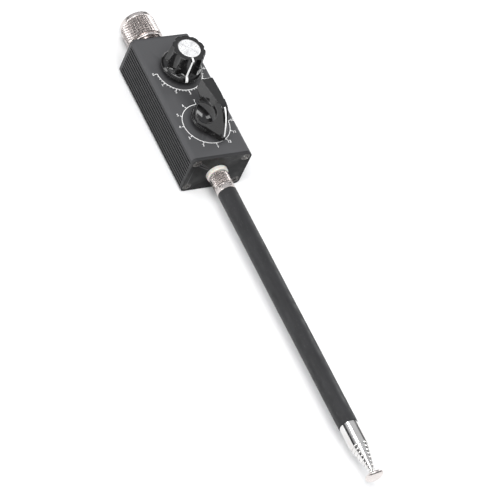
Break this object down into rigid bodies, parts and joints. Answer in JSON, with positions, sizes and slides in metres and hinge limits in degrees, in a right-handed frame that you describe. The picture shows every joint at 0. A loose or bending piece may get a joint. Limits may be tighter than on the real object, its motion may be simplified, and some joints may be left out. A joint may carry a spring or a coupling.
{
  "type": "antenna tuner with telescopic whip",
  "caption": "Pocket HF antenna tuner: ribbed black case, fluted tuning knob, pointer band knob, UHF plug at one end and a sleeved telescopic whip at the other.",
  "frame": {"origin": "on the plane of the case's back face, under the middle of the whole outline", "axes": "+Z leaves the front panel with the knobs; +Y runs along the whip and the case towards the UHF plug; +X completes the right-handed frame, across the panel"},
  "size_m": [0.037, 0.3152, 0.0486],
  "materials": {
    "black_anodised": "satin black anodised",
    "black_screws": "black oxide",
    "white_printing": "matt screen ink",
    "nickel_plate": "nickel plate, fine knurl",
    "clear_plastic": "clear",
    "aluminium_vanes": "bright",
    "phenolic_board": "satin",
    "brass_parts": "machined",
    "spring_steel": "satin",
    "green_board": "solder mask",
    "toroid_powder": "painted",
    "copper_wire": "enamelled copper",
    "wire_insulation": "satin",
    "ivory_insulation": "satin, slightly translucent",
    "black_bakelite": "polished",
    "spun_aluminium": "spun",
    "black_sleeve": "heat-shrink, satin",
    "chrome_tube": "polished"
  },
  "bodies": {
    "case": {"case_shell": "black_anodised", "plug_end_plate": "black_anodised", "whip_end_plate": "black_anodised", "end_screws": "black_screws", "panel_printing": "white_printing", "panel_washers": "nickel_plate", "panel_nuts": "nickel_plate", "capacitor_case": "clear_plastic", "capacitor_stator": "aluminium_vanes", "switch_housing": "nickel_plate", "switch_wafer": "phenolic_board", "switch_contacts": "brass_parts", "detent_spring": "spring_steel", "circuit_board": "green_board", "toroid_core": "toroid_powder", "toroid_winding": "copper_wire", "hookup_wires": "wire_insulation", "plug_body": "nickel_plate", "plug_insulator": "ivory_insulation", "plug_pin": "brass_parts", "plug_nut": "nickel_plate", "whip_stud": "brass_parts", "whip_insulator": "ivory_insulation", "whip_inner_washer": "ivory_insulation", "whip_lug": "brass_parts", "whip_stud_nut": "nickel_plate"},
    "tuning_control": {"tuning_knob": "black_bakelite", "tuning_insert": "brass_parts", "tuning_set_screw": "spring_steel", "tuning_inlay": "spun_aluminium", "tuning_line": "white_printing", "capacitor_shaft": "brass_parts", "capacitor_rotor": "aluminium_vanes"},
    "band_control": {"band_knob": "black_bakelite", "band_insert": "brass_parts", "band_set_screw": "spring_steel", "band_line": "white_printing", "switch_shaft": "brass_parts", "switch_rotor": "phenolic_board"},
    "plug_coupling": {"coupling_nut": "nickel_plate"},
    "whip_base": {"whip_foot": "nickel_plate", "whip_sleeve": "black_sleeve", "whip_tube": "chrome_tube"},
    "whip_section_1": {"section_1": "chrome_tube", "collar_1": "brass_parts"},
    "whip_section_2": {"section_2": "chrome_tube", "collar_2": "brass_parts"},
    "whip_section_3": {"section_3": "chrome_tube", "collar_3": "brass_parts"},
    "whip_section_4": {"section_4": "chrome_tube", "collar_4": "brass_parts"},
    "whip_section_5": {"section_5": "chrome_tube", "collar_5": "brass_parts"},
    "whip_section_6": {"section_6": "chrome_tube", "collar_6": "brass_parts"},
    "whip_section_7": {"section_7": "chrome_tube", "collar_7": "brass_parts"},
    "whip_section_8": {"section_8": "chrome_tube", "collar_8": "brass_parts", "whip_button": "chrome_tube"}
  },
  "joints": [
    {"name": "tune_turn", "type": "hinge", "parent": "case", "child": "tuning_control", "pos_m": [0, 0.10645, 0.026], "axis": [0, 0, 1], "range_deg": [-79.5, 100.5]},
    {"name": "band_turn", "type": "hinge", "parent": "case", "child": "band_control", "pos_m": [0, 0.06845, 0.026], "axis": [0, 0, 1], "range_deg": [-150, 180]},
    {"name": "coupling_turn", "type": "hinge", "parent": "case", "child": "plug_coupling", "pos_m": [0, 0.13245, 0.0104], "axis": [0, 1, 0], "continuous": true},
    {"name": "whip_turn", "type": "hinge", "parent": "case", "child": "whip_base", "pos_m": [0, 0.04445, 0.013], "axis": [0, 1, 0], "continuous": true},
    {"name": "extend_1", "type": "slide", "parent": "whip_base", "child": "whip_section_1", "axis": [0, -1, 0], "range_m": [0, 0.158]},
    {"name": "extend_2", "type": "slide", "parent": "whip_section_1", "child": "whip_section_2", "axis": [0, -1, 0], "range_m": [0, 0.158]},
    {"name": "extend_3", "type": "slide", "parent": "whip_section_2", "child": "whip_section_3", "axis": [0, -1, 0], "range_m": [0, 0.158]},
    {"name": "extend_4", "type": "slide", "parent": "whip_section_3", "child": "whip_section_4", "axis": [0, -1, 0], "range_m": [0, 0.158]},
    {"name": "extend_5", "type": "slide", "parent": "whip_section_4", "child": "whip_section_5", "axis": [0, -1, 0], "range_m": [0, 0.158]},
    {"name": "extend_6", "type": "slide", "parent": "whip_section_5", "child": "whip_section_6", "axis": [0, -1, 0], "range_m": [0, 0.158]},
    {"name": "extend_7", "type": "slide", "parent": "whip_section_6", "child": "whip_section_7", "axis": [0, -1, 0], "range_m": [0, 0.158]},
    {"name": "extend_8", "type": "slide", "parent": "whip_section_7", "child": "whip_section_8", "axis": [0, -1, 0], "range_m": [0, 0.158]}
  ]
}
